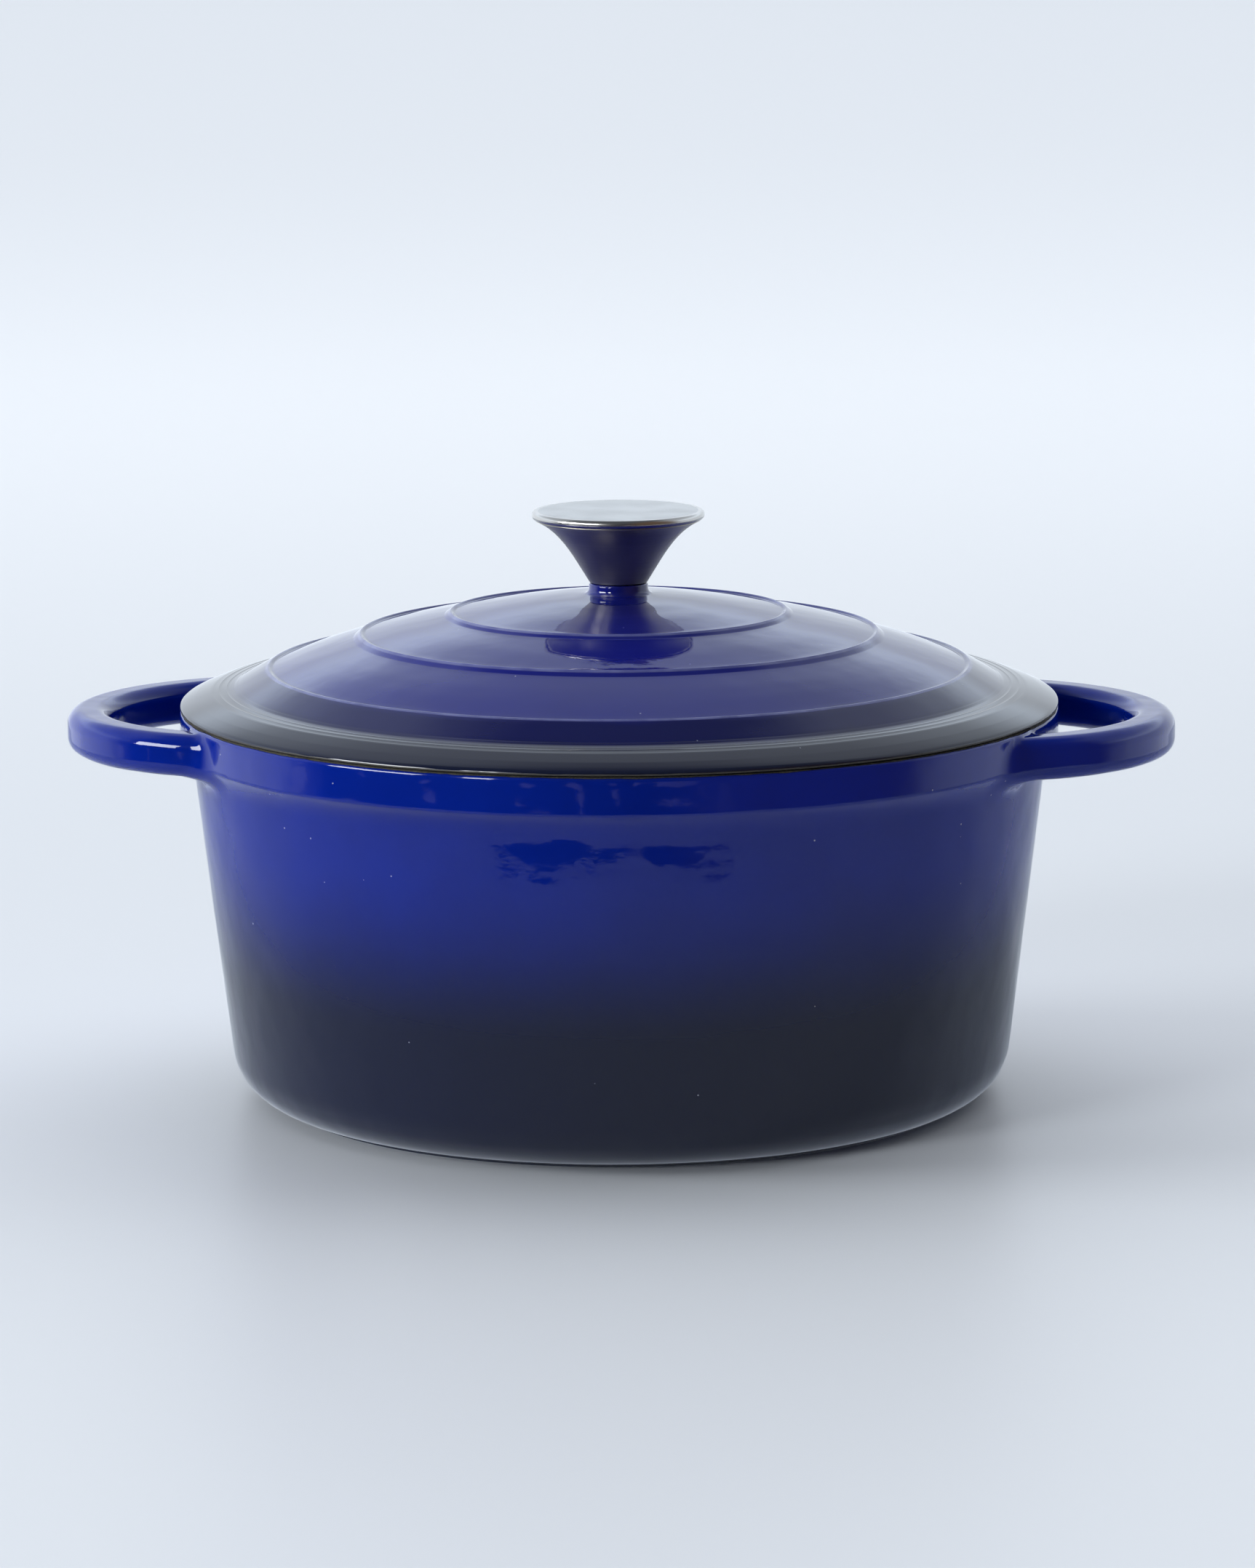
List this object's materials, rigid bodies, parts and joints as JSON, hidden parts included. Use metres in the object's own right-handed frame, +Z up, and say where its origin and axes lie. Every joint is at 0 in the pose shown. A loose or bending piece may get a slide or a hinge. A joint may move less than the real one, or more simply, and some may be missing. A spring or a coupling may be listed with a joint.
{
  "type": "round enamelled cast iron dutch oven",
  "caption": "Round enamelled cast iron cooking pot with loop handles and a stepped dome lid that lifts off and turns, topped by a flared steel knob.",
  "frame": {"origin": "centre of the foot ring, on the surface that the pot stands on", "axes": "+X along the two loop handles, +Z up along the axis of the pot, lid and knob"},
  "size_m": [0.336, 0.266, 0.1777],
  "materials": {
    "pot_enamel": "gloss vitreous enamel, cobalt blue fading to near black at the base, cream inside, bare dark rim",
    "lid_enamel": "gloss vitreous enamel, cobalt blue dome fading to near black at the flange, cream underneath",
    "polished_steel": "polished stainless steel",
    "satin_steel": "satin stainless steel, circular grain",
    "plated_steel": "bright zinc plate",
    "spring_steel": "oiled spring steel",
    "gasket_rubber": "matte heat resistant silicone"
  },
  "bodies": {
    "pot": {"pot_body": "pot_enamel"},
    "knob": {"knob_shell": "polished_steel", "knob_cap": "satin_steel", "knob_core": "plated_steel", "knob_gasket": "gasket_rubber", "lid_screw": "plated_steel", "flat_washer": "plated_steel", "spring_washer": "spring_steel"},
    "lid": {"lid": "lid_enamel"}
  },
  "joints": [
    {"name": "lid_lift", "type": "slide", "parent": "pot", "child": "knob", "axis": [0, 0, 1], "range_m": [0, 0.15]},
    {"name": "lid_turn", "type": "hinge", "parent": "knob", "child": "lid", "pos_m": [0, 0, 0.1195], "axis": [0, 0, 1], "continuous": true}
  ]
}
